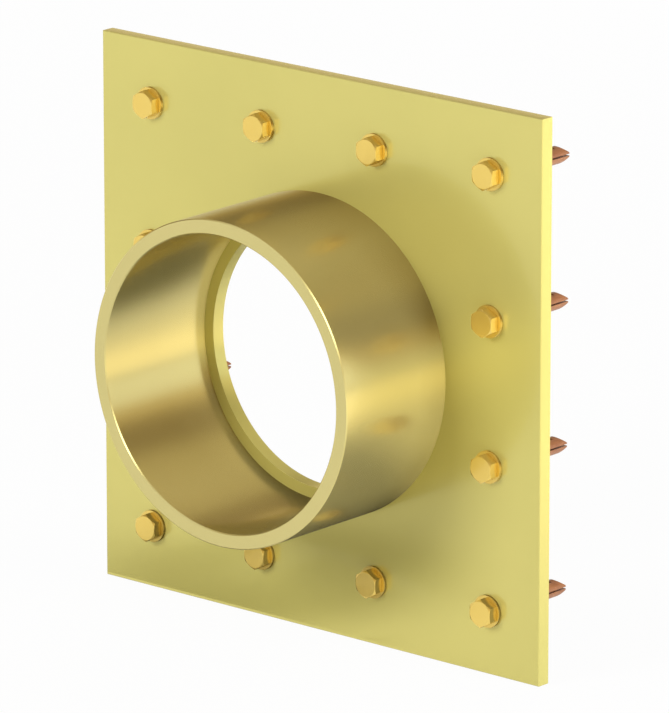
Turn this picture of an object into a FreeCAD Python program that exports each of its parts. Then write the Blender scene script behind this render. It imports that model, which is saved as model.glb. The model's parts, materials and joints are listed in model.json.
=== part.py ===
import FreeCAD, Part
import math
import os

from FreeCAD import Vector

# Wall sleeve with a square bolt-on flange, put together with its own fixings as on a finished wall.
#
# A short steel sleeve stands on a square steel plate. A pipe and its ring seal go through the sleeve
# and on through the round passage in the plate. The plate is held against the wall all round by
# hexagon bolts with washers, and each bolt turns into a plastic plug that sits in the wall.
#
# Frame: the origin is the centre of the plate's back face, where it meets the wall. +Y points into the
# wall, the sleeve stands out towards -Y, +Z is up and +X is to the right for someone facing the wall.
# All sizes are in millimetres.

# Flange plate
plate_width = 380.0
plate_height = 380.0
plate_thickness = 10.0
plate_edge_chamfer = 0.5
passage_diameter = 184.0

# Sleeve pipe
sleeve_bore_diameter = 200.0
sleeve_wall = 10.0
sleeve_length = 98.0
sleeve_mouth_chamfer = 0.7

# Fixing holes in the plate: a row along each side, with the corner holes shared
holes_per_side = 4
hole_edge_distance = 43.0
hole_mouth_diameter = 19.0
hole_clearance = 0.5

# Hexagon bolts
bolt_diameter = 10.0
bolt_length = 50.0
head_across_flats = 17.0
head_height = 6.8

# Washers
washer_diameter = 22.0
washer_thickness = 2.0
washer_clearance = 0.5

# Wall plugs
plug_diameter = 12.0
plug_length = 60.0
plug_depth_below_face = 3.0
plug_clearance = 0.1
plug_bore_spare = 3.0
plug_taper_length = 7.0
plug_tip_height = 3.2

# Where each layer starts, along Y from the wall's surface
plate_front = -plate_thickness
washer_front = plate_front - washer_thickness
head_front = washer_front - head_height
mouth = plate_front - sleeve_length
bolt_tip = washer_front + bolt_length
plug_mouth = plug_depth_below_face
plug_tip = plug_mouth + plug_length

# Radii that follow from the sizes above
sleeve_bore_radius = sleeve_bore_diameter / 2
sleeve_outer_radius = sleeve_bore_radius + sleeve_wall
bolt_radius = bolt_diameter / 2
hole_back_radius = bolt_radius + hole_clearance
washer_bore_radius = bolt_radius + washer_clearance
plug_radius = plug_diameter / 2
plug_bore_radius = bolt_radius + plug_clearance

ALONG_Y = Vector(0, 1, 0)
ORIGIN = Vector(0, 0, 0)


def closed_face(points):
    """A flat face inside the closed run of straight edges through the points."""
    return Part.Face(Part.makePolygon(points + [points[0]]))


def turned(profile):
    """A solid of revolution about Y from (radius, y) points, in order."""
    return closed_face([Vector(radius, y, 0) for radius, y in profile]).revolve(ORIGIN, ALONG_Y, 360)


def rod(radius, start, end):
    """A round rod on the Y axis between two places along Y."""
    return Part.makeCylinder(radius, end - start, Vector(0, start, 0), ALONG_Y)


def hole_places():
    """(x, z) of each fixing hole: evenly spaced along the four sides, each corner once."""
    reach_x = plate_width / 2 - hole_edge_distance
    reach_z = plate_height / 2 - hole_edge_distance
    last = holes_per_side - 1
    places = []
    for i in range(holes_per_side):
        for j in range(holes_per_side):
            if i in (0, last) or j in (0, last):
                x = -reach_x + 2 * reach_x * i / last
                z = -reach_z + 2 * reach_z * j / last
                places.append((x, z))
    return places


def at_each_hole(solid):
    """One copy of the solid on the axis of every fixing hole, as a group of separate solids."""
    return Part.makeCompound([solid.translated(Vector(x, 0, z)) for x, z in hole_places()])


def make_flange_plate():
    """The square plate with its front edges broken, the round passage and the coned fixing holes."""
    corner = Vector(-plate_width / 2, plate_front, -plate_height / 2)
    plate = Part.makeBox(plate_width, plate_thickness, plate_height, corner)
    front_edges = [edge for edge in plate.Edges if edge.BoundBox.YMax < plate_front / 2]
    plate = plate.makeChamfer(plate_edge_chamfer, front_edges)
    passage = rod(passage_diameter / 2, plate_front, 0)
    hole = Part.makeCone(
        hole_mouth_diameter / 2, hole_back_radius, plate_thickness, Vector(0, plate_front, 0), ALONG_Y
    )
    return plate.cut([passage] + at_each_hole(hole).Solids)


def make_sleeve_pipe():
    """A length of pipe that stands on the plate, with both edges of its mouth broken."""
    inner, outer, chamfer = sleeve_bore_radius, sleeve_outer_radius, sleeve_mouth_chamfer
    return turned([
        (inner, plate_front),
        (outer, plate_front),
        (outer, mouth + chamfer),
        (outer - chamfer, mouth),
        (inner + chamfer, mouth),
        (inner, mouth + chamfer),
    ])


def make_hex_bolt():
    """A hexagon head with one corner straight up, and a round shank."""
    corner_radius = head_across_flats / math.sqrt(3)
    corners = []
    for i in range(6):
        angle = math.radians(90 + 60 * i)
        corners.append(Vector(corner_radius * math.cos(angle), head_front, corner_radius * math.sin(angle)))
    head = closed_face(corners).extrude(ALONG_Y * head_height)
    return head.fuse(rod(bolt_radius, washer_front, bolt_tip))


def make_washer():
    """A flat washer that lies on the plate and bridges the mouth of the hole."""
    disc = rod(washer_diameter / 2, washer_front, plate_front)
    return disc.cut(rod(washer_bore_radius, washer_front, plate_front))


def make_wall_plug():
    """A plug that starts just below the wall's surface, bored for the bolt, with a wedge-shaped tip."""
    taper_start = plug_tip - plug_taper_length
    half_tip = plug_tip_height / 2
    side = closed_face([
        Vector(-plug_radius, plug_mouth, -plug_radius),
        Vector(-plug_radius, plug_mouth, plug_radius),
        Vector(-plug_radius, taper_start, plug_radius),
        Vector(-plug_radius, plug_tip, half_tip),
        Vector(-plug_radius, plug_tip, -half_tip),
        Vector(-plug_radius, taper_start, -plug_radius),
    ])
    wedge = side.extrude(Vector(plug_diameter, 0, 0))
    body = rod(plug_radius, plug_mouth, plug_tip).common(wedge)
    return body.cut(rod(plug_bore_radius, plug_mouth, bolt_tip + plug_bore_spare))


def main():
    os.makedirs("parts", exist_ok=True)
    nodes = {
        "flange_plate": make_flange_plate(),
        "sleeve_pipe": make_sleeve_pipe(),
        "hex_bolts": at_each_hole(make_hex_bolt()),
        "washers": at_each_hole(make_washer()),
        "wall_plugs": at_each_hole(make_wall_plug()),
    }
    for name, shape in nodes.items():
        shape.exportStep(f"parts/{name}.step")
        print(name, len(shape.Solids), "solids, volume", round(shape.Volume), "mm3, valid", shape.isValid())


main()
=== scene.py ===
# %% [markdown]
# # Wall sleeve with its bolt-on flange
# This lesson dresses a short steel sleeve on a square flange plate, with its hexagon bolts, washers and
# wall plugs. The measured model comes first and stays as it is: every piece made here takes its place
# and size from it. Lengths are in metres, +Y points into the wall and +Z is up.

# %% Load the measured model
import json
import math

import bmesh
import bpy
from mathutils import Matrix, Vector


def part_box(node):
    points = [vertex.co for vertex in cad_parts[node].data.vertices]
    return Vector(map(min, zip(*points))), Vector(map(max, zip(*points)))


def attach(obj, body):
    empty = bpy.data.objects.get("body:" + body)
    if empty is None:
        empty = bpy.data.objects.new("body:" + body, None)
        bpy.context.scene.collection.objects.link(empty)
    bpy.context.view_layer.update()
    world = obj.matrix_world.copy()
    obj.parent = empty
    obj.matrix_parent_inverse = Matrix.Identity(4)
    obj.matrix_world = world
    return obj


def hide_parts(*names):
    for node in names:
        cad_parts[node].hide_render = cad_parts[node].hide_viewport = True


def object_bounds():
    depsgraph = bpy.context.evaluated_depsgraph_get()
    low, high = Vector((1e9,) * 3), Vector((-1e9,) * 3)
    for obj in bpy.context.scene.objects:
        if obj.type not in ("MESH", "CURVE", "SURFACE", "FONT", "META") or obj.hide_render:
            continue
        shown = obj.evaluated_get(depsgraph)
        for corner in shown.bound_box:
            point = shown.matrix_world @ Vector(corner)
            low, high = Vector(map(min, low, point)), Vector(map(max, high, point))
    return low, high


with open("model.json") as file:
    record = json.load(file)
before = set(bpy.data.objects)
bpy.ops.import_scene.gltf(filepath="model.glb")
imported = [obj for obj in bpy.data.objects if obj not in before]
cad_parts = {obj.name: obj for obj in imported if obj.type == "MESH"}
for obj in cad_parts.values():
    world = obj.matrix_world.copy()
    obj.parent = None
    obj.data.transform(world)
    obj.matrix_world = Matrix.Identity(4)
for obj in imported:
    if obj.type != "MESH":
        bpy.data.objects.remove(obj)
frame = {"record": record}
cad_low, cad_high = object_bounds()
print("measured box", [round(v, 4) for v in (*cad_low, *cad_high)])

# %% [markdown]
# A few sizes are read from the model once, so that the pieces below stay true to it when it changes.
# The boxes of the nodes give lengths and places. The record's mounts give the bores, which a box can't.

# %% Sizes from the model
MM = 0.001
CLOSE = 1e-5  # two places nearer than this count as one
MERGED = 1e-6  # points nearer than this become one
plate_low, plate_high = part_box("flange_plate")
sleeve_low, sleeve_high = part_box("sleeve_pipe")
bolt_low, bolt_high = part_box("hex_bolts")
washer_low, washer_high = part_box("washers")
plug_low, plug_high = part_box("wall_plugs")
bores = {mount["name"]: mount["dims"] for mount in frame["record"]["mounts"]}

sleeve_radius = sleeve_high.x
sleeve_bore = bores["sleeve_bore"]["r_mm"] * MM
passage_radius = bores["plate_passage"]["r_mm"] * MM
plate_thickness = plate_high.y - plate_low.y
plate_side = plate_high.x - plate_low.x

# The washers' box goes round the whole pattern, so the radius of one washer is given here.
washer_radius = 11 * MM
reach = washer_high.x - washer_radius
holes_per_side = 4
print("plate", round(plate_side, 4), "sleeve radius", round(sleeve_radius, 4))
print("holes reach", round(reach, 4))

# %% The places of the twelve fixings
steps = [reach * (2 * i / (holes_per_side - 1) - 1) for i in range(holes_per_side)]
hole_places = [
    Vector((x, 0, z))
    for x in steps
    for z in steps
    if max(abs(x), abs(z)) > reach - CLOSE
]
print(len(hole_places), "fixings")

# %% [markdown]
# ## Camera
# A long lens far away, a little above and to the right of the sleeve's axis, keeps the plate's edges
# almost parallel. The lens and the place were worked out from the plate's corners and the sleeve's
# ellipses, so the picture's frame needs no shift.

# %% Camera
camera_place = Vector((3.2804, -3.7914, 1.3977))
looking = Vector((-0.6295, 0.7289, -0.2692))

camera = bpy.data.objects.new("camera", bpy.data.cameras.new("camera"))
bpy.context.scene.collection.objects.link(camera)
camera.location = camera_place
camera.rotation_mode = "QUATERNION"
camera.rotation_quaternion = looking.to_track_quat("-Z", "Y")
camera.data.lens = 398.3
camera.data.clip_start = 0.1
camera.data.clip_end = 60
bpy.context.scene.camera = camera
print("camera at", tuple(camera.location))

# %% [markdown]
# ## Floor, background and light
# The floor is a plain pale plane at the plate's lower edge, under a white sky. By way of Light Path the
# camera, a mirror and glass see both of them white, while the diffuse rays get a softer sky and the
# paper of the floor, which keeps the part's shadow. The lamps stay low enough for a colour to come out
# about as it is written.

# %% Helper that wires nodes
def wire(tree, source, target):
    """Joins an output socket to an input socket."""
    tree.links.new(source, target)


def fresh_material(name):
    """An empty material with its output node."""
    material = bpy.data.materials.new(name)
    material.use_nodes = True
    material.node_tree.nodes.clear()
    output = material.node_tree.nodes.new("ShaderNodeOutputMaterial")
    return material, material.node_tree, output


# %% A mask for what is seen directly
def seen_directly(tree):
    """A mask that is 1 for what the camera sees itself, in a mirror or through glass."""
    path = tree.nodes.new("ShaderNodeLightPath")
    seen = path.outputs["Is Camera Ray"]
    for kind in ("Is Glossy Ray", "Is Transmission Ray"):
        larger = tree.nodes.new("ShaderNodeMath")
        larger.operation = "MAXIMUM"
        wire(tree, seen, larger.inputs[0])
        wire(tree, path.outputs[kind], larger.inputs[1])
        seen = larger.outputs[0]
    return seen


# %% Floor
GLOW_SHARE = 0.96  # how much of the paper the glow covers


def make_floor_material():
    """Pale paper whose own glow, for direct looks only, lifts it close to white."""
    material, tree, output = fresh_material("pale_floor")
    paper = tree.nodes.new("ShaderNodeBsdfDiffuse")
    paper.inputs["Color"].default_value = (0.9, 0.9, 0.9, 1)
    glow = tree.nodes.new("ShaderNodeEmission")
    glow.inputs["Color"].default_value = (1, 1, 1, 1)
    glow.inputs["Strength"].default_value = 1.0
    share = tree.nodes.new("ShaderNodeMath")
    share.operation = "MULTIPLY"
    share.inputs[1].default_value = GLOW_SHARE
    mix = tree.nodes.new("ShaderNodeMixShader")
    wire(tree, seen_directly(tree), share.inputs[0])
    wire(tree, share.outputs[0], mix.inputs[0])
    wire(tree, paper.outputs[0], mix.inputs[1])
    wire(tree, glow.outputs[0], mix.inputs[2])
    wire(tree, mix.outputs[0], output.inputs["Surface"])
    material.cycles.emission_sampling = "NONE"
    return material


bpy.ops.object.select_all(action="DESELECT")
bpy.ops.mesh.primitive_plane_add(size=30, location=(0, 0, cad_low.z))
floor = bpy.context.object
floor.name = "floor"
floor.data.materials.append(make_floor_material())
print("floor at", round(cad_low.z, 4))

# %% World
AMBIENT = 0.25

world = bpy.data.worlds.new("studio")
bpy.context.scene.world = world
world.use_nodes = True
sky_tree = world.node_tree
sky_tree.nodes.clear()
sky_output = sky_tree.nodes.new("ShaderNodeOutputWorld")
soft_sky = sky_tree.nodes.new("ShaderNodeBackground")
soft_sky.inputs["Color"].default_value = (1, 0.95, 0.9, 1)
soft_sky.inputs["Strength"].default_value = AMBIENT
white_sky = sky_tree.nodes.new("ShaderNodeBackground")
white_sky.inputs["Color"].default_value = (1, 1, 1, 1)
choose = sky_tree.nodes.new("ShaderNodeMixShader")
wire(sky_tree, seen_directly(sky_tree), choose.inputs[0])
wire(sky_tree, soft_sky.outputs[0], choose.inputs[1])
wire(sky_tree, white_sky.outputs[0], choose.inputs[2])
wire(sky_tree, choose.outputs[0], sky_output.inputs["Surface"])
bpy.context.scene.view_settings.view_transform = "Standard"
print("world strength", AMBIENT)

# %% [markdown]
# Metal that mirrors nothing but white looks flat. In a studio the dim walls of the room and the light and
# shade on the floor draw its bands, so a round screen stands far out and a few round patches lie on the
# floor. They are there for the mirrored rays alone: they throw no shadow, give no light and don't show
# in the picture. Each one fades into the white round it, so that no edge of a card shows in the metal.
# The screen is brighter behind the part and its bands lean a little, as daylight from one side does. A
# window in front of the part, to the right, draws the thin white lines on the sleeve's broken edges.

# %% Cards for the mirrored rays
WHITE = (GLOW_SHARE, GLOW_SHARE, GLOW_SHARE)
HONEY = (0.62, 0.47, 0.26)
BROWN = (0.22, 0.16, 0.10)
TAN = (0.50, 0.42, 0.28)


def for_gloss_alone(obj, name, material):
    """Lets only the mirrored rays see an object of the studio."""
    obj.name = name
    obj.data.materials.append(material)
    obj.visible_camera = False
    obj.visible_diffuse = False
    obj.visible_transmission = False
    obj.visible_shadow = False
    print("for gloss alone:", name)


# %% What a card measures
def up_the_screen(tree):
    """The height on the room screen, whose bands hang higher towards the back of the room."""
    place = tree.nodes.new("ShaderNodeTexCoord")
    height = tree.nodes.new("ShaderNodeVectorMath")
    height.operation = "DOT_PRODUCT"
    rise = 0.1  # how far a band climbs for each metre towards the back
    height.inputs[1].default_value = (0, -rise, 1)
    wire(tree, place.outputs["Object"], height.inputs[0])
    return height.outputs["Value"]


def stronger_behind(tree):
    """A strength that rises from the front half of the room to its back."""
    place = tree.nodes.new("ShaderNodeTexCoord")
    parts = tree.nodes.new("ShaderNodeSeparateXYZ")
    rise = tree.nodes.new("ShaderNodeMapRange")
    rise.interpolation_type = "SMOOTHSTEP"
    rise.inputs["From Max"].default_value = 4
    rise.inputs["To Min"].default_value = 1
    rise.inputs["To Max"].default_value = 1.45
    wire(tree, place.outputs["Object"], parts.inputs[0])
    wire(tree, parts.outputs["Y"], rise.inputs["Value"])
    return rise.outputs["Result"]


def from_the_middle(tree):
    """The distance from the middle of a patch."""
    place = tree.nodes.new("ShaderNodeTexCoord")
    distance = tree.nodes.new("ShaderNodeVectorMath")
    distance.operation = "LENGTH"
    wire(tree, place.outputs["Object"], distance.inputs[0])
    return distance.outputs["Value"]


# %% A window in the room
def window_glow(tree, middle, radius, strength):
    """White light that fades out round a window, for the first mirrored ray alone."""
    place = tree.nodes.new("ShaderNodeTexCoord")
    distance = tree.nodes.new("ShaderNodeVectorMath")
    distance.operation = "DISTANCE"
    distance.inputs[1].default_value = middle
    fade = tree.nodes.new("ShaderNodeMapRange")
    fade.interpolation_type = "SMOOTHSTEP"
    fade.inputs["From Max"].default_value = radius
    fade.inputs["To Min"].default_value = strength
    fade.inputs["To Max"].default_value = 0
    path = tree.nodes.new("ShaderNodeLightPath")
    first = tree.nodes.new("ShaderNodeMath")
    first.operation = "LESS_THAN"
    first.inputs[1].default_value = 1.5  # between the first mirroring and the second
    both = tree.nodes.new("ShaderNodeMath")
    both.operation = "MULTIPLY"
    glow = tree.nodes.new("ShaderNodeEmission")
    wire(tree, place.outputs["Object"], distance.inputs[0])
    wire(tree, distance.outputs["Value"], fade.inputs["Value"])
    wire(tree, path.outputs["Ray Depth"], first.inputs[0])
    wire(tree, fade.outputs["Result"], both.inputs[0])
    wire(tree, first.outputs[0], both.inputs[1])
    wire(tree, both.outputs[0], glow.inputs["Strength"])
    return glow.outputs[0]


# %% A card and a patch on the floor
def mirrored_card(obj, name, measure, stops, strength=None, window=None):
    """Makes an object a card that glows in colours by a measure in metres."""
    material, tree, output = fresh_material(name)
    farthest = stops[-1][0]
    share = tree.nodes.new("ShaderNodeMath")
    share.operation = "DIVIDE"
    share.inputs[1].default_value = farthest
    fade = tree.nodes.new("ShaderNodeValToRGB")
    fade.color_ramp.interpolation = "EASE"
    while len(fade.color_ramp.elements) < len(stops):
        fade.color_ramp.elements.new(0.5)
    for element, (far, colour) in zip(fade.color_ramp.elements, stops):
        element.position = far / farthest
        element.color = (*colour, 1)
    card = tree.nodes.new("ShaderNodeEmission")
    wire(tree, measure(tree), share.inputs[0])
    wire(tree, share.outputs[0], fade.inputs[0])
    wire(tree, fade.outputs["Color"], card.inputs["Color"])
    if strength:
        wire(tree, strength(tree), card.inputs["Strength"])
    light = card.outputs[0]
    if window:
        both = tree.nodes.new("ShaderNodeAddShader")
        wire(tree, light, both.inputs[0])
        wire(tree, window_glow(tree, **window), both.inputs[1])
        light = both.outputs[0]
    wire(tree, light, output.inputs["Surface"])
    material.cycles.emission_sampling = "NONE"
    for_gloss_alone(obj, name, material)


def floor_patch(name, middle, radius, lift, colour):
    """A round patch just above the floor that fades from its own colour to the floor's."""
    bpy.ops.object.select_all(action="DESELECT")
    bpy.ops.mesh.primitive_circle_add(
        vertices=64, radius=radius, fill_type="NGON", location=(*middle, cad_low.z + lift)
    )
    core = 0.45 * radius  # the colour is full up to here
    stops = [(0, colour), (core, colour), (radius, WHITE)]
    mirrored_card(bpy.context.object, name, from_the_middle, stops)


# %% Room screen
screen_radius = 6
screen_top = 8.5
# Height and colour of each band.
screen_bands = [
    (0.5, WHITE),
    (1.2, HONEY),
    (2.2, BROWN),
    (3.2, BROWN),
    (4.45, TAN),
    (5.95, TAN),
    (8.5, WHITE),
]
bpy.ops.object.select_all(action="DESELECT")
bpy.ops.mesh.primitive_cylinder_add(
    vertices=96, radius=screen_radius, depth=2 * screen_top, end_fill_type="NOTHING"
)
bpy.ops.object.mode_set(mode="EDIT")
bpy.ops.mesh.select_all(action="SELECT")
bpy.ops.mesh.bisect(plane_co=(0, 0, cad_low.z), plane_no=(0, 0, 1), clear_inner=True)
bpy.ops.object.mode_set(mode="OBJECT")
front_window = {"middle": (3.6, -4.8, 3.6), "radius": 3.2, "strength": 6.0}
mirrored_card(
    bpy.context.object, "room_screen", up_the_screen, screen_bands, stronger_behind, front_window
)

# %% Light and shade on the floor
floor_patch("bright_front", middle=(1.1, -1.0), radius=1.2, lift=1 * MM, colour=(1.75, 1.65, 1.35))
floor_patch("bright_back", middle=(0.8, 0.9), radius=1.1, lift=1 * MM, colour=(1.95, 1.75, 1.4))
floor_patch("dark_front", middle=(-0.10, -0.09), radius=0.16, lift=2 * MM, colour=(0.12, 0.12, 0.10))
floor_patch("dark_back", middle=(-0.12, 0.1), radius=0.25, lift=2 * MM, colour=(0.12, 0.12, 0.10))


# %% Lamps
def soft_box(name, place, width, height, power):
    """A rectangular lamp that faces the middle of the part."""
    lamp = bpy.data.lights.new(name, "AREA")
    lamp.shape = "RECTANGLE"
    lamp.size = width
    lamp.size_y = height
    lamp.energy = power
    box = bpy.data.objects.new(name, lamp)
    bpy.context.scene.collection.objects.link(box)
    box.location = place
    box.rotation_mode = "QUATERNION"
    box.rotation_quaternion = (-Vector(place)).to_track_quat("-Z", "Y")
    box.visible_glossy = False
    print("lamp", name, power, "W")


soft_box("front", place=(-0.9, -3.1, 1.4), width=1.6, height=1.4, power=86)
soft_box("right_side", place=(3.0, 0.35, 0.45), width=1.2, height=1.2, power=88)
soft_box("back_fill", place=(-1.8, 3.0, 1.2), width=1.6, height=1.6, power=40)


# %% [markdown]
# ## Finishes
# Yellow zinc plating is a thin clear film on bright metal. Its colour drifts between straw and olive
# where the film is thicker, and a very fine grain breaks up its gloss. Both effects appear on the plate
# and on the fixings, so each is a node group that is built once and gets its own values in each finish.

# %% Node group for the drifting film colour
def new_group(name, inputs, outputs):
    """A node group with named sockets, and its two end nodes."""
    group = bpy.data.node_groups.new(name, "ShaderNodeTree")
    for label, kind in inputs:
        group.interface.new_socket(name=label, in_out="INPUT", socket_type=kind)
    for label, kind in outputs:
        group.interface.new_socket(name=label, in_out="OUTPUT", socket_type=kind)
    return group, group.nodes.new("NodeGroupInput"), group.nodes.new("NodeGroupOutput")


def make_film_group():
    """Two film colours that drift into each other in soft clouds."""
    group, given, result = new_group(
        "plating_film",
        [
            ("Thin Film", "NodeSocketColor"),
            ("Thick Film", "NodeSocketColor"),
            ("Cloud Scale", "NodeSocketFloat"),
            ("Contrast", "NodeSocketFloat"),
        ],
        [("Color", "NodeSocketColor")],
    )
    place = group.nodes.new("ShaderNodeTexCoord")
    clouds = group.nodes.new("ShaderNodeTexNoise")
    clouds.inputs["Detail"].default_value = 3
    clouds.inputs["Roughness"].default_value = 0.5
    centred = group.nodes.new("ShaderNodeMath")
    centred.operation = "SUBTRACT"
    centred.inputs[1].default_value = 0.5
    spread = group.nodes.new("ShaderNodeMath")
    spread.operation = "MULTIPLY_ADD"
    spread.inputs[2].default_value = 0.5
    spread.use_clamp = True
    mix = group.nodes.new("ShaderNodeMix")
    mix.data_type = "RGBA"
    wire(group, place.outputs["Object"], clouds.inputs["Vector"])
    wire(group, given.outputs["Cloud Scale"], clouds.inputs["Scale"])
    wire(group, clouds.outputs["Fac"], centred.inputs[0])
    wire(group, centred.outputs[0], spread.inputs[0])
    wire(group, given.outputs["Contrast"], spread.inputs[1])
    wire(group, spread.outputs[0], mix.inputs["Factor"])
    wire(group, given.outputs["Thin Film"], mix.inputs["A"])
    wire(group, given.outputs["Thick Film"], mix.inputs["B"])
    wire(group, mix.outputs["Result"], result.inputs["Color"])
    return group


film_group = make_film_group()
print("group", film_group.name)


# %% Node group for the fine grain
def make_grain_group():
    """A fine grain as a roughness and as a height for a Bump node."""
    group, given, result = new_group(
        "fine_grain",
        [
            ("Grain Scale", "NodeSocketFloat"),
            ("Smoothest", "NodeSocketFloat"),
            ("Roughest", "NodeSocketFloat"),
        ],
        [("Roughness", "NodeSocketFloat"), ("Height", "NodeSocketFloat")],
    )
    place = group.nodes.new("ShaderNodeTexCoord")
    grain = group.nodes.new("ShaderNodeTexNoise")
    grain.inputs["Detail"].default_value = 2
    spread = group.nodes.new("ShaderNodeMapRange")
    spread.inputs["From Min"].default_value = 0.3
    spread.inputs["From Max"].default_value = 0.7
    wire(group, place.outputs["Object"], grain.inputs["Vector"])
    wire(group, given.outputs["Grain Scale"], grain.inputs["Scale"])
    wire(group, grain.outputs["Fac"], spread.inputs["Value"])
    wire(group, given.outputs["Smoothest"], spread.inputs["To Min"])
    wire(group, given.outputs["Roughest"], spread.inputs["To Max"])
    wire(group, spread.outputs["Result"], result.inputs["Roughness"])
    wire(group, grain.outputs["Fac"], result.inputs["Height"])
    return group


grain_group = make_grain_group()
print("group", grain_group.name)


# %% Plated finish
def place_group(tree, group, **values):
    """Puts a node group into a material and sets its inputs by name."""
    node = tree.nodes.new("ShaderNodeGroup")
    node.node_tree = group
    for label, value in values.items():
        node.inputs[label.replace("_", " ")].default_value = value
    return node


def make_plated(name, thin, thick, cloud_scale, grain_scale, smoothest, roughest, metallic, coat):
    """Zinc plating: coloured metal with a grained gloss under a clear film."""
    material, tree, output = fresh_material(name)
    film = place_group(
        tree,
        film_group,
        Thin_Film=(*thin, 1),
        Thick_Film=(*thick, 1),
        Cloud_Scale=cloud_scale,
        Contrast=1.6,
    )
    grain = place_group(
        tree, grain_group, Grain_Scale=grain_scale, Smoothest=smoothest, Roughest=roughest
    )
    bump = tree.nodes.new("ShaderNodeBump")
    bump.inputs["Strength"].default_value = 0.02
    bump.inputs["Distance"].default_value = 0.0001
    metal = tree.nodes.new("ShaderNodeBsdfPrincipled")
    metal.inputs["Metallic"].default_value = metallic
    metal.inputs["Specular Tint"].default_value = (0.88, 0.80, 0.48, 1)
    metal.inputs["Coat Weight"].default_value = coat
    metal.inputs["Coat IOR"].default_value = 1.5
    metal.inputs["Coat Roughness"].default_value = 0.06
    wire(tree, film.outputs["Color"], metal.inputs["Base Color"])
    wire(tree, grain.outputs["Roughness"], metal.inputs["Roughness"])
    wire(tree, grain.outputs["Height"], bump.inputs["Height"])
    wire(tree, bump.outputs["Normal"], metal.inputs["Normal"])
    wire(tree, metal.outputs[0], output.inputs["Surface"])
    print("finish", name)
    return material


plated_plate = make_plated(
    "satin_yellow_plating",
    thin=(0.67, 0.60, 0.18),
    thick=(0.61, 0.55, 0.16),
    cloud_scale=9,
    grain_scale=700,
    smoothest=0.20,
    roughest=0.24,
    metallic=0.35,
    coat=0.3,
)
plated_tube = make_plated(
    "bright_tube_plating",
    thin=(0.66, 0.57, 0.23),
    thick=(0.62, 0.54, 0.21),
    cloud_scale=9,
    grain_scale=700,
    smoothest=0.22,
    roughest=0.25,
    metallic=0.76,
    coat=0.2,
)
plated_fixings = make_plated(
    "bright_yellow_plating",
    thin=(0.86, 0.63, 0.15),
    thick=(0.82, 0.59, 0.13),
    cloud_scale=60,
    grain_scale=1500,
    smoothest=0.17,
    roughest=0.22,
    metallic=0.7,
    coat=0.4,
)


# %% Plug plastic
def make_plug_plastic():
    """Brown moulded plastic, a little lighter in patches, with a soft waxy gloss."""
    material, tree, output = fresh_material("brown_plug_plastic")
    tone = place_group(
        tree,
        film_group,
        Thin_Film=(0.36, 0.15, 0.06, 1),
        Thick_Film=(0.26, 0.10, 0.045, 1),
        Cloud_Scale=120,
        Contrast=2.0,
    )
    grain = place_group(tree, grain_group, Grain_Scale=1800, Smoothest=0.34, Roughest=0.46)
    bump = tree.nodes.new("ShaderNodeBump")
    bump.inputs["Strength"].default_value = 0.08
    bump.inputs["Distance"].default_value = 0.0001
    plastic = tree.nodes.new("ShaderNodeBsdfPrincipled")
    wire(tree, tone.outputs["Color"], plastic.inputs["Base Color"])
    wire(tree, grain.outputs["Roughness"], plastic.inputs["Roughness"])
    wire(tree, grain.outputs["Height"], bump.inputs["Height"])
    wire(tree, bump.outputs["Normal"], plastic.inputs["Normal"])
    wire(tree, plastic.outputs[0], output.inputs["Surface"])
    print("finish", material.name)
    return material


plug_plastic = make_plug_plastic()


# %% [markdown]
# ## Modelling helpers
# Each piece starts as a primitive and is shaped with the tools of edit mode. An operator works on all
# that is selected, so everything is let go first, and then faces or edges are picked by their place.

# %% Selecting
def let_go():
    """Leaves edit mode and deselects every object."""
    if bpy.context.object and bpy.context.object.mode != "OBJECT":
        bpy.ops.object.mode_set(mode="OBJECT")
    bpy.ops.object.select_all(action="DESELECT")


def make_active(obj):
    """Selects one object alone."""
    let_go()
    obj.select_set(True)
    bpy.context.view_layer.objects.active = obj


def pick(obj, kind, test):
    """In edit mode, selects the vertices, edges or faces that pass the test, and counts them."""
    bpy.ops.mesh.select_mode(type=kind)
    bpy.ops.mesh.select_all(action="DESELECT")
    mesh = bmesh.from_edit_mesh(obj.data)
    parts = {"VERT": mesh.verts, "EDGE": mesh.edges, "FACE": mesh.faces}[kind]
    count = 0
    for part in parts:
        if test(part):
            part.select_set(True)
            count += 1
    bmesh.update_edit_mesh(obj.data)
    return count


# %% Round blanks and cutters
LARGE_SIDES = 192  # sides of the sleeve and the passage
SMALL_SIDES = 48  # sides of the holes and the plugs


def rod(radius, start, end, sides, end_radius=None):
    """A round bar on the Y axis between two places, or a cone where the end's radius differs."""
    let_go()
    bpy.ops.mesh.primitive_cone_add(
        vertices=sides,
        radius1=end_radius if end_radius is not None else radius,
        radius2=radius,
        depth=end - start,
        location=(0, (start + end) / 2, 0),
        rotation=(math.pi / 2, 0, 0),
    )
    blank = bpy.context.object
    bpy.ops.object.transform_apply(location=True, rotation=True, scale=True)
    return blank


def cut(body, tool, operation="DIFFERENCE"):
    """Applies a boolean and throws the tool away."""
    make_active(body)
    bpy.ops.object.modifier_add(type="BOOLEAN")
    modifier = body.modifiers[-1]
    modifier.operation = operation
    modifier.solver = "EXACT"
    modifier.object = tool
    bpy.ops.object.modifier_apply(modifier=modifier.name)
    bpy.data.objects.remove(tool, do_unlink=True)


def copies_at(obj, places):
    """One joined object made of a copy at every place."""
    made = []
    for place in places:
        copy = obj.copy()
        copy.data = obj.data.copy()
        copy.data.transform(Matrix.Translation(place))
        bpy.context.scene.collection.objects.link(copy)
        made.append(copy)
    bpy.data.objects.remove(obj, do_unlink=True)
    let_go()
    for copy in made:
        copy.select_set(True)
    bpy.context.view_layer.objects.active = made[0]
    bpy.ops.object.join()
    return bpy.context.object


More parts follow.
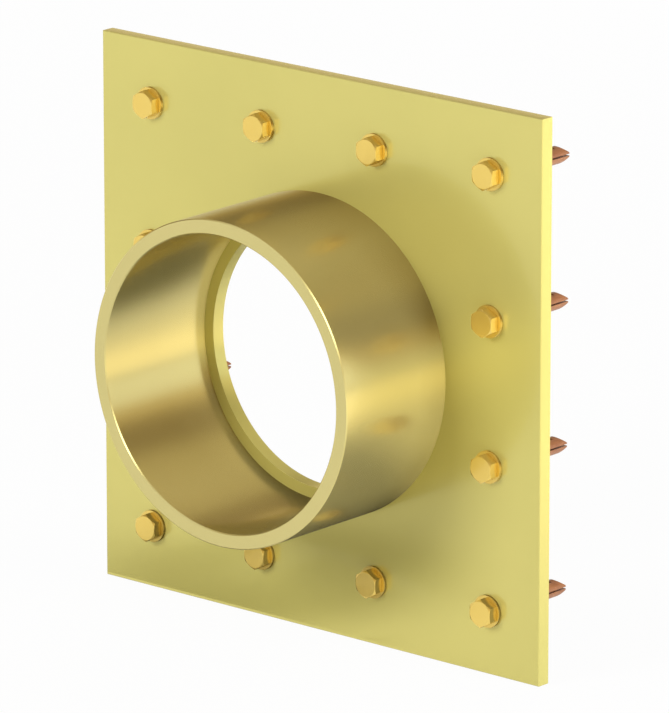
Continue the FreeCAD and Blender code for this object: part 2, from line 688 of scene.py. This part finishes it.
# %% Soft edges and the last smoothing
def round_edges(obj, test, width, segments=2):
    """Bevels the edges that pass the test."""
    make_active(obj)
    bpy.ops.object.mode_set(mode="EDIT")
    count = pick(obj, "EDGE", test)
    bpy.ops.mesh.bevel(offset=width, offset_type="OFFSET", segments=segments, profile=0.5)
    bpy.ops.object.mode_set(mode="OBJECT")
    print(obj.name, "rounded edges", count)


def smooth(obj, degrees=35):
    """Merges what a cut left closer than a micron, then shades smoothly and keeps flat faces flat."""
    make_active(obj)
    bpy.ops.object.mode_set(mode="EDIT")
    bpy.ops.mesh.select_all(action="SELECT")
    bpy.ops.mesh.remove_doubles(threshold=MERGED)
    bpy.ops.mesh.dissolve_degenerate(threshold=MERGED)
    bpy.ops.object.mode_set(mode="OBJECT")
    bpy.ops.object.shade_smooth_by_angle(angle=math.radians(degrees))
    bpy.ops.object.modifier_add(type="WEIGHTED_NORMAL")
    obj.modifiers[-1].keep_sharp = True
    bpy.ops.object.modifier_apply(modifier=obj.modifiers[-1].name)


def put_on_frame(obj, name, node, material):
    """Names a finished piece, dresses it and lets it stand for its node in the model."""
    obj.name = name
    obj.data.name = name
    obj.data.materials.clear()
    obj.data.materials.append(material)
    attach(obj, "root")
    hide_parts(node)


# %% [markdown]
# ## Flange plate
# The real plate is cut from thick sheet, its edges are broken and twelve holes taper towards the wall.
# A cube at the plate's size gives the blank. Twelve cones joined to one cutter make all the holes in a
# single boolean, which is quicker and cleaner than twelve, and a round bar makes the passage.

# %% Plate blank
hole_mouth_radius = 9.5 * MM
hole_back_radius = 5.5 * MM
edge_chamfer = 0.5 * MM
edge_softness = 0.3 * MM
past = 1 * MM  # how far a cutter reaches beyond the body


def in_front(edge):
    """True for an edge of the plate's front face."""
    return max(v.co.y for v in edge.verts) < plate_low.y / 2


def is_corner(edge):
    """True where two faces meet at about a right angle."""
    return edge.calc_face_angle(0) > math.radians(75)


let_go()
bpy.ops.mesh.primitive_cube_add(
    size=1,
    location=(plate_low + plate_high) / 2,
    scale=(plate_side, plate_thickness, plate_high.z - plate_low.z),
)
plate = bpy.context.object
bpy.ops.object.transform_apply(location=True, rotation=True, scale=True)
round_edges(plate, in_front, edge_chamfer, segments=1)
round_edges(plate, is_corner, edge_softness)

# %% Passage and holes
taper = (hole_mouth_radius - hole_back_radius) / plate_thickness
cone = rod(
    hole_mouth_radius + taper * past,
    plate_low.y - past,
    plate_high.y + past,
    SMALL_SIDES,
    end_radius=hole_back_radius - taper * past,
)
cones = copies_at(cone, hole_places)
cut(plate, cones)
cut(plate, rod(passage_radius, plate_low.y - past, plate_high.y + past, LARGE_SIDES))
print("plate faces", len(plate.data.polygons))

# %% Broken edges of the holes
rim_softness = 0.25 * MM
holes_within = plate_side * 0.47  # all holes lie nearer to the middle than this


def rim(edge):
    """True for an edge on a face of the plate that goes round a hole."""
    first, second = (v.co for v in edge.verts)
    level = abs(first.y - second.y) < CLOSE
    on_face = min(abs(first.y - plate_low.y), abs(first.y - plate_high.y)) < CLOSE
    return level and on_face and max(abs(first.x), abs(first.z)) < holes_within


round_edges(plate, rim, rim_softness)
smooth(plate)
print("plate", len(plate.data.polygons), "faces")


# %% [markdown]
# The sleeve stands on the plate, so most of what it mirrors is the plate. On bright plating that image is
# nearly as clear as a mirror's, and it carries the bands of the room. A copy of the plate's front face
# that only the mirrored rays can see gives the sleeve this image, while the plate itself keeps its
# satin. The copy darkens towards the floor, where the sleeve's own shade lies on the plate.

# %% The plate as the sleeve mirrors it
def make_mirror_finish():
    """A nearly clear mirror, darker below a height on the plate."""
    material, tree, output = fresh_material("clear_plate_image")
    place = tree.nodes.new("ShaderNodeTexCoord")
    height = tree.nodes.new("ShaderNodeSeparateXYZ")
    lit = tree.nodes.new("ShaderNodeMapRange")
    lit.interpolation_type = "SMOOTHSTEP"
    lit.inputs["From Min"].default_value = -110 * MM  # dark below this height
    lit.inputs["From Max"].default_value = -30 * MM  # lit above this one
    tone = tree.nodes.new("ShaderNodeMix")
    tone.data_type = "RGBA"
    tone.inputs["A"].default_value = (0.15, 0.145, 0.10, 1)
    tone.inputs["B"].default_value = (0.76, 0.70, 0.45, 1)
    gloss = tree.nodes.new("ShaderNodeBsdfAnisotropic")
    gloss.inputs["Roughness"].default_value = 0.12
    wire(tree, place.outputs["Object"], height.inputs[0])
    wire(tree, height.outputs["Z"], lit.inputs["Value"])
    wire(tree, lit.outputs["Result"], tone.inputs["Factor"])
    wire(tree, tone.outputs["Result"], gloss.inputs["Color"])
    wire(tree, gloss.outputs[0], output.inputs["Surface"])
    return material


let_go()
plate_image = plate.copy()
plate_image.data = plate.data.copy()
bpy.context.scene.collection.objects.link(plate_image)
behind_the_front = 0.2 * MM
make_active(plate_image)
bpy.ops.object.mode_set(mode="EDIT")
pick(plate_image, "FACE", lambda face: face.normal.y > -0.9)
bpy.ops.mesh.delete(type="FACE")
bpy.ops.mesh.select_all(action="SELECT")
bpy.ops.transform.translate(value=(0, behind_the_front, 0))
bpy.ops.object.mode_set(mode="OBJECT")
plate_image.data.materials.clear()
for_gloss_alone(plate_image, "plate_image", make_mirror_finish())

put_on_frame(plate, "square_flange", "flange_plate", plated_plate)
plate.visible_glossy = False
print("square_flange", len(plate.data.polygons), "faces")


# %% [markdown]
# ## Sleeve
# The sleeve is a slice of heavy pipe with both edges of its mouth just broken. A cylinder becomes a
# pipe when its two ends are inset by the wall and the inner faces are bridged.

# %% Pipe from a bar
def tube(outer, inner, start, end, sides):
    """A pipe on the Y axis: a bar whose end faces are inset and then bridged."""
    body = rod(outer, start, end, sides)
    bpy.ops.object.mode_set(mode="EDIT")
    pick(body, "FACE", lambda face: len(face.verts) > 4)
    bpy.ops.mesh.inset(thickness=outer - inner, depth=0)
    bpy.ops.mesh.bridge_edge_loops()
    bpy.ops.mesh.select_all(action="SELECT")
    bpy.ops.mesh.normals_make_consistent(inside=False)
    bpy.ops.object.mode_set(mode="OBJECT")
    return body


sleeve = tube(sleeve_radius, sleeve_bore, sleeve_low.y, sleeve_high.y, LARGE_SIDES)
print("sleeve faces", len(sleeve.data.polygons))

# %% Mouth of the sleeve
mouth_chamfer = 0.7 * MM
across_the_wall = sleeve_radius - sleeve_bore


def at_mouth(edge):
    """True for an edge of the open end that goes round it, not across the wall."""
    level = all(abs(v.co.y - sleeve_low.y) < CLOSE for v in edge.verts)
    return level and edge.calc_length() < 0.8 * across_the_wall


round_edges(sleeve, at_mouth, mouth_chamfer, segments=1)
smooth(sleeve)
put_on_frame(sleeve, "sleeve_tube", "sleeve_pipe", plated_tube)
print("sleeve_tube", len(sleeve.data.polygons), "faces")


# %% [markdown]
# ## Washers
# A washer is the same pipe, very short, with soft edges from its stamping. It is modelled once, on the
# axis, and copied to the twelve places, each copy with its own mesh.

# %% Copies on the frame
def spread_out(obj, name, node, material):
    """A separate piece at every fixing hole, all made from one model on the axis."""
    for number, place in enumerate(hole_places, 1):
        copy = obj.copy()
        copy.data = obj.data.copy()
        copy.data.transform(Matrix.Translation(place))
        bpy.context.scene.collection.objects.link(copy)
        put_on_frame(copy, f"{name}_{number:02d}", node, material)
    bpy.data.objects.remove(obj, do_unlink=True)
    print(name, len(hole_places), "pieces of", len(copy.data.polygons), "faces")


# %% Washer
washer_bore = 5.5 * MM
washer_sides = 64
stamped_edge = 0.25 * MM


def goes_round(edge):
    """True for the short edges of the washer's four rims."""
    return abs(edge.verts[0].co.y - edge.verts[1].co.y) < CLOSE and edge.calc_length() < 2 * MM


washer = tube(washer_radius, washer_bore, washer_low.y, washer_high.y, washer_sides)
round_edges(washer, goes_round, stamped_edge)
smooth(washer)
spread_out(washer, "washer", "washers", plated_fixings)


# %% [markdown]
# ## Hexagon bolts
# A forged hexagon head has its corners turned off by a shallow cone, which leaves the small curved
# scallops above each flat. Intersecting a six-sided bar with a cone gives exactly these. The thread is
# a line of teeth that the Screw modifier winds up the shank. Both ends are cut flat, and the tip is
# drawn in to a short cone.

# %% Head
across_flats = 17 * MM
head_front = bolt_low.y
head_back = washer_low.y
corner_radius = across_flats / math.sqrt(3)
face_circle = 8.3 * MM
cone_slope = math.sqrt(3)  # the cone leans 30 degrees from the head's face
cone_sides = 96
forged_edge = 0.25 * MM


def reaches_back(edge):
    """True for every edge of the blank but those of its front face."""
    return any(v.co.y > head_front for v in edge.verts)


def on_face_circle(edge):
    """True for the edges round the cone's narrow end."""
    return all(abs(v.co.y - head_front) < CLOSE for v in edge.verts)


head = rod(corner_radius, head_front - past, head_back, sides=6)
round_edges(head, reaches_back, forged_edge)
wide_end = face_circle + cone_slope * (head_back + past - head_front)
corner_cone = rod(face_circle, head_front, head_back + past, cone_sides, end_radius=wide_end)
round_edges(corner_cone, on_face_circle, forged_edge)
cut(head, corner_cone, "INTERSECT")
print("head faces", len(head.data.polygons))

# %% Thread
bolt_radius = 5 * MM
pitch = 1.5 * MM
thread_depth = 0.9 * MM
root_radius = bolt_radius - thread_depth
bolt_tip = bolt_high.y
turns = int((bolt_tip - head_back) / pitch) + 4  # enough to pass both ends
turn_steps = 32

# One tooth of the thread: radius, and place as a share of the pitch.
tooth = [
    (root_radius, 0.0),
    (root_radius, 0.12),
    (bolt_radius, 0.5),
    (bolt_radius, 0.62),
    (root_radius, 1.0),
]
first_turn = head_back - 2 * pitch

# The circle only gives a mesh to draw in: its own points go at once.
let_go()
bpy.ops.mesh.primitive_circle_add(vertices=8, radius=1)
thread = bpy.context.object
bpy.ops.object.mode_set(mode="EDIT")
mesh = bmesh.from_edit_mesh(thread.data)
bmesh.ops.delete(mesh, geom=mesh.verts[:], context="VERTS")
corners = [mesh.verts.new((radius, first_turn + share * pitch, 0)) for radius, share in tooth]
for first, second in zip(corners, corners[1:]):
    mesh.edges.new((first, second))
bmesh.update_edit_mesh(thread.data)
bpy.ops.object.mode_set(mode="OBJECT")
make_active(thread)
bpy.ops.object.modifier_add(type="SCREW")
winding = thread.modifiers[-1]
winding.axis = "Y"
winding.angle = 2 * math.pi
winding.screw_offset = pitch
winding.iterations = turns
winding.steps = turn_steps
winding.render_steps = turn_steps
bpy.ops.object.modifier_apply(modifier=winding.name)
bpy.ops.object.mode_set(mode="EDIT")
bpy.ops.mesh.select_all(action="SELECT")
bpy.ops.mesh.remove_doubles(threshold=CLOSE)
bpy.ops.object.mode_set(mode="OBJECT")
print("thread faces", len(thread.data.polygons))

# %% Thread ends
into_head = 0.5 * MM
tip_radius = root_radius - 0.3 * MM
bpy.ops.object.mode_set(mode="EDIT")
for end, outward in ((head_back - into_head, -1), (bolt_tip, 1)):
    bpy.ops.mesh.select_all(action="SELECT")
    bpy.ops.mesh.bisect(
        plane_co=(0, end, 0), plane_no=(0, outward, 0), use_fill=True, clear_outer=True, threshold=1e-7
    )
bpy.ops.mesh.select_all(action="SELECT")
bpy.ops.mesh.normals_make_consistent(inside=False)
mesh = bmesh.from_edit_mesh(thread.data)
for vertex in mesh.verts:
    allowed = tip_radius + (bolt_tip - vertex.co.y)
    radius = math.hypot(vertex.co.x, vertex.co.z)
    if radius > allowed:
        vertex.co.x *= allowed / radius
        vertex.co.z *= allowed / radius
bmesh.update_edit_mesh(thread.data)
bpy.ops.object.mode_set(mode="OBJECT")
print("thread closed", len(thread.data.polygons))

# %% Bolt
cut(head, thread, "UNION")
smooth(head, degrees=32)
spread_out(head, "hex_bolt", "hex_bolts", plated_fixings)


# %% [markdown]
# ## Wall plugs
# A wall plug is a plastic tube with a slit that lets it spread, saw teeth that grip the hole and two
# springy barbs that stop it from turning. The teeth are flat notches with a steep side towards the
# mouth. All but the barbs is cut from one round bar.

# %% Plug body
plug_radius = 6 * MM
plug_mouth = plug_low.y
plug_tip = plug_high.y
plug_bore = 5.1 * MM
bore_depth = 38 * MM
tip_length = 7 * MM
tip_half_height = 1.6 * MM

plug = rod(plug_radius, plug_mouth, plug_tip, SMALL_SIDES)
bpy.ops.object.mode_set(mode="EDIT")
slope = math.atan2(plug_radius - tip_half_height, tip_length)
for side in (1, -1):
    bpy.ops.mesh.select_all(action="SELECT")
    bpy.ops.mesh.bisect(
        plane_co=(0, plug_tip, side * tip_half_height),
        plane_no=(0, math.sin(slope), side * math.cos(slope)),
        use_fill=True,
        clear_outer=True,
    )
bpy.ops.object.mode_set(mode="OBJECT")
cut(plug, rod(plug_bore, plug_mouth - past, plug_mouth + bore_depth, SMALL_SIDES))
print("plug faces", len(plug.data.polygons))

# %% Teeth
wider = 2.4 * plug_radius  # reaches past the plug on both sides


def notch(start, length, depth, side):
    """A wedge whose floor slopes down to a steep face, for the top or the bottom of the plug."""
    let_go()
    bpy.ops.mesh.primitive_cube_add(
        size=1,
        location=(0, start + length / 2, side * (plug_radius - depth / 2 + past / 2)),
        scale=(wider, length, depth + past),
    )
    wedge = bpy.context.object
    bpy.ops.object.transform_apply(location=True, rotation=True, scale=True)
    bpy.ops.object.mode_set(mode="EDIT")
    pick(wedge, "VERT", lambda v: v.co.y < start + length / 2 and abs(v.co.z) < plug_radius)
    bpy.ops.transform.translate(value=(0, 0, side * depth))
    bpy.ops.object.mode_set(mode="OBJECT")
    return wedge


tooth_pitch = 7.2 * MM
tooth_length = 4.2 * MM
first_tooth = plug_mouth + 20 * MM - tooth_length
tooth_depths = (0.55, 0.6, 0.65, 0.9, 0.95)
for number, depth in enumerate(tooth_depths):
    for side in (1, -1):
        cut(plug, notch(first_tooth + number * tooth_pitch, tooth_length, depth * MM, side))
print("plug with teeth", len(plug.data.polygons))

# %% Slit
slit_start = plug_mouth + 26 * MM
slit_height = 1.2 * MM
let_go()
bpy.ops.mesh.primitive_cube_add(
    size=1,
    location=(0, (slit_start + plug_tip + past) / 2, 0),
    scale=(wider, plug_tip + past - slit_start, slit_height),
)
slit = bpy.context.object
bpy.ops.object.transform_apply(location=True, rotation=True, scale=True)
cut(plug, slit)
print("plug with slit", len(plug.data.polygons))

# %% Barbs
barb_place = plug_mouth + 35 * MM
barb_depth = 0.7 * MM
barb_block = (1.7 * MM, 2.2 * MM, 0.6 * MM)
# How far each step goes towards the tip and outwards, and how much narrower it gets.
barb_steps = [
    (-1.2 * MM, 1.0 * MM, 0.85),
    (-2.0 * MM, 1.3 * MM, 0.85),
    (-2.3 * MM, 1.5 * MM, 0.85),
    (-2.4 * MM, 1.8 * MM, 0.8),
]


def barb(side):
    """A thin tongue that leans back towards the mouth, grown from a small block in four steps."""
    root = Vector((0, barb_place, side * (plug_radius - barb_depth)))
    let_go()
    bpy.ops.mesh.primitive_cube_add(size=1, location=root, scale=barb_block)
    tongue = bpy.context.object
    bpy.ops.object.transform_apply(location=True, rotation=True, scale=True)
    bpy.ops.object.mode_set(mode="EDIT")
    pick(tongue, "FACE", lambda face: face.normal.z * side > 0.9)
    for forward, outward, shrink in barb_steps:
        bpy.ops.mesh.extrude_region_move(TRANSFORM_OT_translate={"value": (0, forward, side * outward)})
        bpy.ops.transform.resize(value=(shrink, shrink, 1))
    bpy.ops.object.mode_set(mode="OBJECT")
    return tongue


for side in (1, -1):
    cut(plug, barb(side), "UNION")
smooth(plug, degrees=32)
spread_out(plug, "wall_plug", "wall_plugs", plug_plastic)

# %% [markdown]
# ## The measured box
# The dressed part has to stay inside the measured box, which is printed once more.

# %% Print the measured box
print("measured", [round(v, 4) for v in (*cad_low, *cad_high)])
